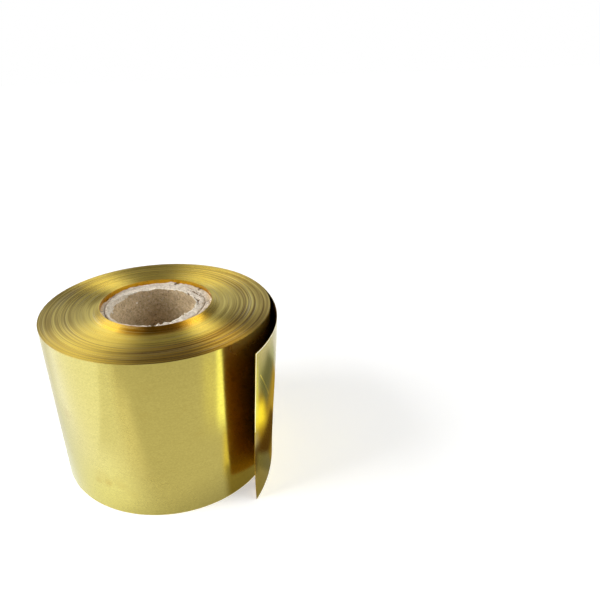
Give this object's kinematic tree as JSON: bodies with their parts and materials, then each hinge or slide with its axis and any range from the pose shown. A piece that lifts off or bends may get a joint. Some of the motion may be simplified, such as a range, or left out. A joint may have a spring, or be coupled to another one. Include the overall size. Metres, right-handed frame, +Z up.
{
  "type": "roll of brass strip",
  "caption": "Roll of thin brass strip wound tightly on a pressed-paper core and standing on its end, with its loose end curling away from the roll.",
  "frame": {"origin": "on the roll's axis at its lower end, which is the surface that it stands on", "axes": "+Z up the roll's axis; +X towards the side where the loose end leaves the roll; +Y away from the free edge of the loose end"},
  "size_m": [0.1352, 0.1364, 0.1027],
  "materials": {
    "brass_strip": "satin",
    "paper_core": "matte"
  },
  "bodies": {
    "root": {"coiled_strip": "brass_strip", "core_tube": "paper_core"}
  },
  "joints": []
}
